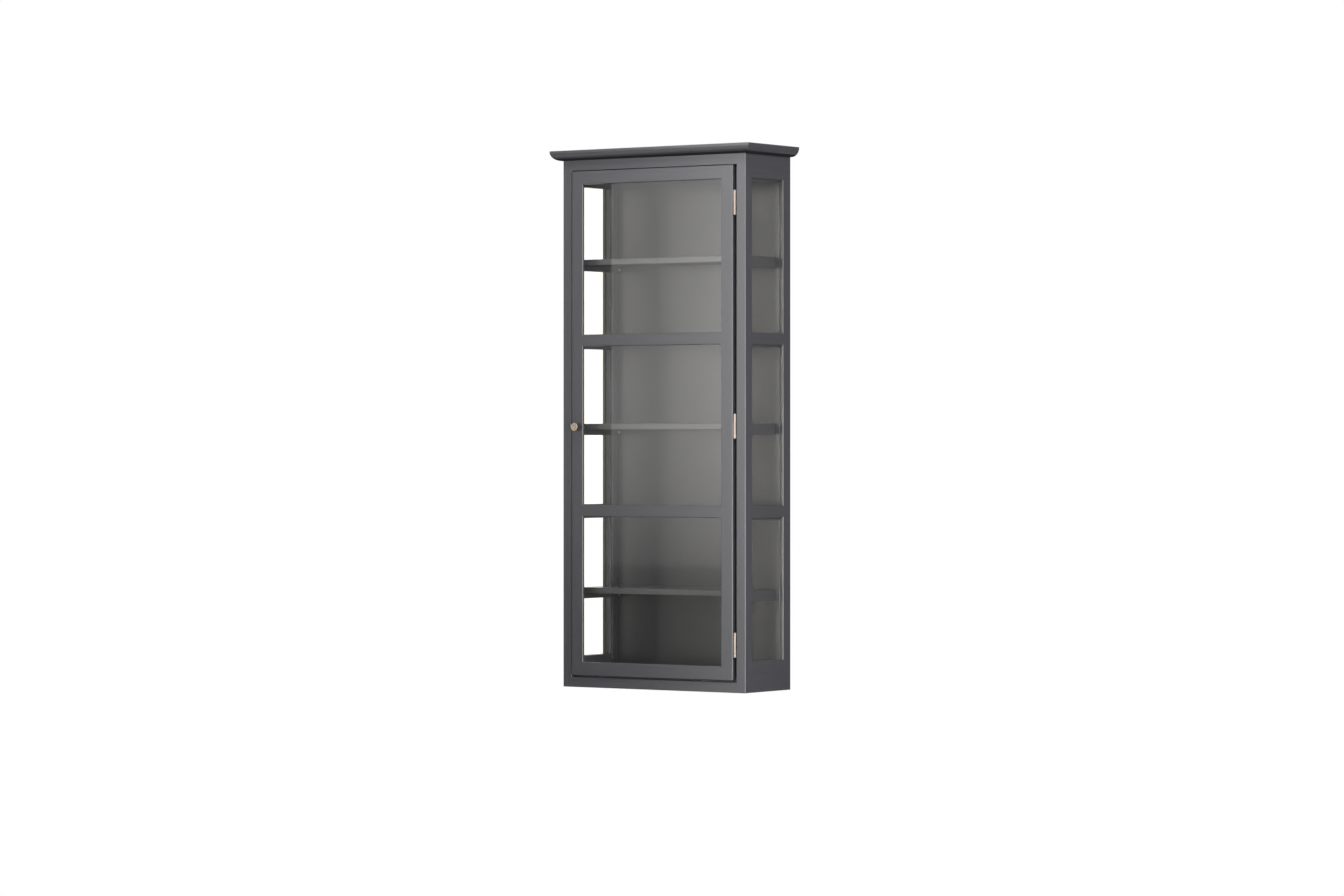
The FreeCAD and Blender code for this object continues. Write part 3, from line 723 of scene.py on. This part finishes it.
# finishes of the pieces that keep the frame's own shape
kept = {
    floatGlass: [name for name in nodes if name.endswith("_glass")],
    satinBrass: [name for name in nodes if name.endswith("_leaf")]
    + ["hinge_pins", "frame_hinge_screws", "door_screws"],
    zincSteel: ["hanger_plates", "strike_plate", "knob_screw", "hanger_screws", "catch_screws",
                "back_panel_screws", "bearer_screws", "cornice_screws"],
    ferrite: ["catch_magnet"],
    mouldedAbs: ["catch_body"],
    bareBeech: ["carcass_dowels"],
    lacquerBoard: ["back_panel"],
    lacquerAcross: ["top_board"],
    lacquerDeep: ["left_shelf_bearers", "right_shelf_bearers"],
}
for finish, names in kept.items():
    for name in names:
        nodes[name].data.materials.clear()
        nodes[name].data.materials.append(finish)
for name in kept[floatGlass]:  # lamps and bounced light pass the panes as they do real ones
    nodes[name].visible_shadow = False
    nodes[name].visible_diffuse = False
print("kept pieces finished:", sum(len(names) for names in kept.values()))

# studio: white surround for the eye and for reflections, softer light on the object itself
studio = {
    "ambient": 0.15,
    "floorDrop": 0.75,  # m below the cabinet
    "floorRadius": 3.0,  # m
    "floorSides": 96,
    "floorTone": "#e6e6e6",
    "floorRough": 0.8,
    "floorGlow": 0.7,  # share of plain white in the middle, which grows to 1 at the rim
}
pureWhite = (1, 1, 1, 1)


def seenDirectly(tree):
    path = addNode(tree, "ShaderNodeLightPath").outputs
    cameraOrGloss = addNode(
        tree, "ShaderNodeMath", {"operation": "MAXIMUM"},
        {0: path["Is Camera Ray"], 1: path["Is Glossy Ray"]},
    )
    return addNode(
        tree, "ShaderNodeMath", {"operation": "MAXIMUM"},
        {0: cameraOrGloss.outputs["Value"], 1: path["Is Transmission Ray"]},
    ).outputs["Value"]


def makeWorld():
    world = bpy.data.worlds.new("studio")
    world.use_nodes = True
    tree = world.node_tree
    tree.nodes.clear()
    soft = addNode(tree, "ShaderNodeBackground", {"Strength": studio["ambient"], "Color": pureWhite})
    white = addNode(tree, "ShaderNodeBackground", {"Strength": 1.0, "Color": pureWhite})
    both = addNode(
        tree, "ShaderNodeMixShader", {},
        {0: seenDirectly(tree), 1: soft.outputs["Background"], 2: white.outputs["Background"]},
    )
    addNode(tree, "ShaderNodeOutputWorld", {}, {"Surface": both.outputs["Shader"]})
    bpy.context.scene.world = world


def makeFloor():
    finish, tree, surface, place = newFinish("pale_studio_floor")
    surface.inputs["Base Color"].default_value = srgb(studio["floorTone"])
    surface.inputs["Roughness"].default_value = studio["floorRough"]
    glow = addNode(tree, "ShaderNodeEmission", {"Strength": 1.0, "Color": pureWhite})
    away = addNode(tree, "ShaderNodeVectorMath", {"operation": "LENGTH"}, {0: place}).outputs["Value"]
    fade = addNode(
        tree, "ShaderNodeMapRange",
        {"From Min": 0.0, "From Max": studio["floorRadius"],
         "To Min": studio["floorGlow"], "To Max": 1.0},
        {"Value": away},
    ).outputs["Result"]
    share = addNode(tree, "ShaderNodeMath", {"operation": "MULTIPLY"}, {0: fade, 1: seenDirectly(tree)})
    both = addNode(
        tree, "ShaderNodeMixShader", {},
        {0: share.outputs["Value"], 1: surface.outputs["BSDF"], 2: glow.outputs["Emission"]},
    )
    tree.links.new(both.outputs["Shader"], tree.nodes["Material Output"].inputs["Surface"])
    bm = bmesh.new()
    bmesh.ops.create_circle(
        bm, cap_ends=True, radius=studio["floorRadius"], segments=studio["floorSides"]
    )
    floor = meshObject("studio_floor", bm, [finish])
    floor.location = (0, 0, cadLow.z - studio["floorDrop"])


# softboxes: where each hangs and what it points at, in metres, how wide and high it is, and its power
softboxes = {
    "broad_right": {
        "at": (2.9, -2.1, -0.4), "aim": (0.2, -0.15, -0.4), "size": (0.8, 1.7), "watts": 34.0,
    },
    "key_top": {
        "at": (0.2, -0.55, 0.65), "aim": (0.05, -0.15, -0.25), "size": (0.5, 0.4), "watts": 7.9,
    },
    "side_high": {
        "at": (1.9, -0.6, 0.75), "aim": (0.2, -0.12, -0.7), "size": (0.3, 0.3), "watts": 19.0,
    },
    "strip_right": {
        "at": (0.8, -0.4, -0.75), "aim": (0.2, -0.1, -0.75), "size": (0.2, 0.8), "watts": 2.4,
    },
    "strip_left": {
        "at": (-1.08, -2.15, -0.4), "aim": (-0.1, -0.15, -0.4), "size": (0.15, 1.8), "watts": 5.4,
    },
    "fill_left": {
        "at": (-2.3, -0.1, -0.3), "aim": (-0.2, -0.07, -0.45), "size": (0.8, 0.8), "watts": 30.0,
    },
    "fill_back": {
        "at": (-0.25, 2.3, -0.3), "aim": (0.0, 0.0, -0.45), "size": (0.8, 0.8), "watts": 36.0,
    },
}
# reflector cards: two corners in metres, how many times brighter the right edge is than the left, and
# the brightness at each height; only gloss and glass see them
cards = {
    "card_front": {
        "low": (-1.745, -2.45, -1.8), "high": (-0.1, -2.45, 0.9), "rightGain": 4.0,
        "stops": (
            (-1.8, 1.3), (-1.45, 1.3), (-1.3, 0.1), (-0.83, 0.14), (-0.775, 0.26), (-0.76, 0.45),
            (-0.6, 0.92), (-0.45, 1.16), (0.9, 1.3),
        ),
    },
    "card_front_edge": {
        "low": (-1.84, -2.45, -1.8), "high": (-1.745, -2.45, 0.9), "rightGain": 4.0,
        "stops": ((-1.8, 0.04), (-0.77, 0.05), (-0.76, 0.1), (0.9, 0.1)),
    },
    "card_front_left": {
        "low": (-2.9, -2.45, -1.8), "high": (-1.84, -2.45, -0.766), "rightGain": 1.0,
        "stops": ((-1.8, 0.08), (-0.766, 0.14)),
    },
    "card_floor": {
        "low": (-1.9, -2.4, -1.64), "high": (0.8, 0.3, -1.5), "rightGain": 1.0,
        "stops": ((-1.64, 1.2), (-1.575, 1.2), (-1.55, 0.08), (-1.5, 0.08)),
    },
    "card_back": {
        "low": (-0.95, 0.8, -1.05), "high": (-0.72, 0.8, 0.2), "rightGain": 1.0,
        "stops": ((-1.05, 1.4), (0.2, 1.4)),
    },
    "card_side": {
        "low": (-0.6, 1.3, -1.7), "high": (1.8, 1.3, 0.6), "rightGain": 1.0,
        "stops": ((-1.7, 0.02), (-1.0, 0.05), (-0.6, 0.12), (0.6, 0.2)),
    },
}


def aimed(place, target):
    direction = Vector(target) - Vector(place)
    return Matrix.Translation(place) @ direction.to_track_quat("-Z", "Y").to_matrix().to_4x4()


def makeLights():
    for name, box in softboxes.items():
        light = bpy.data.lights.new(name, "AREA")
        light.shape = "RECTANGLE"
        light.size, light.size_y = box["size"]
        light.energy = box["watts"]
        lamp = bpy.data.objects.new(name, light)
        lamp.matrix_world = aimed(box["at"], box["aim"])
        bpy.context.scene.collection.objects.link(lamp)


def makeCards():
    for name, look in cards.items():
        low, high, stops = Vector(look["low"]), Vector(look["high"]), look["stops"]
        span, centre = high - low, (high + low) / 2
        finish, tree, surface, place = newFinish(f"{name}_lit")
        spot = addNode(tree, "ShaderNodeSeparateXYZ", {}, {0: place}).outputs
        share = addNode(
            tree, "ShaderNodeMapRange", {"From Min": low.z, "From Max": high.z}, {"Value": spot["Z"]},
        )
        ramp = addNode(tree, "ShaderNodeValToRGB", {}, {0: share.outputs["Result"]})
        left = max(level for z, level in stops)
        right = left * look["rightGain"]
        gain = addNode(
            tree, "ShaderNodeMapRange",
            {"From Min": low.x, "From Max": high.x, "To Min": left, "To Max": right},
            {"Value": spot["X"]},
        ).outputs["Result"]
        steps = ramp.color_ramp.elements
        while len(steps) < len(stops):
            steps.new(1.0)
        for step, (z, level) in zip(steps, stops):
            step.position = (z - low.z) / span.z
            step.color = (level / left,) * 3 + (1.0,)
        glow = addNode(
            tree, "ShaderNodeEmission", {}, {"Color": ramp.outputs["Color"], "Strength": gain}
        )
        tree.links.new(glow.outputs["Emission"], tree.nodes["Material Output"].inputs["Surface"])
        tree.nodes.remove(surface)
        bm = bmesh.new()
        spread = Matrix((
            (span.x, 0, 0, centre.x),
            (0, span.y, 0, centre.y),
            (0, span.z, 1, centre.z),
            (0, 0, 0, 1),
        ))
        bmesh.ops.create_grid(bm, x_segments=1, y_segments=1, size=0.5, matrix=spread)
        card = meshObject(name, bm, [finish])
        card.visible_camera = False
        card.visible_diffuse = False
        card.visible_shadow = False


# camera: level, a little below the middle of the cabinet, well to the right of its front
view = {
    "place": (4.7343, -6.8953, -0.469),  # m
    "direction": (-0.5710, 0.8210, 0.0),
    "lens": 119.79,  # mm
    "sensor": 36.0,  # mm
    "shiftUp": -0.0021,
    "reach": 100,  # m
}


def makeCamera():
    camera = bpy.data.cameras.new("studio_camera")
    camera.lens = view["lens"]
    camera.sensor_fit = "HORIZONTAL"
    camera.sensor_width = view["sensor"]
    camera.shift_y = view["shiftUp"]
    camera.clip_end = view["reach"]
    holder = bpy.data.objects.new("studio_camera", camera)
    holder.location = view["place"]
    holder.rotation_euler = Vector(view["direction"]).to_track_quat("-Z", "Y").to_euler()
    bpy.context.scene.collection.objects.link(holder)
    bpy.context.scene.camera = holder


makeWorld()
makeFloor()
makeLights()
makeCards()
makeCamera()
bpy.context.scene.view_settings.view_transform = "Standard"
print("studio set")
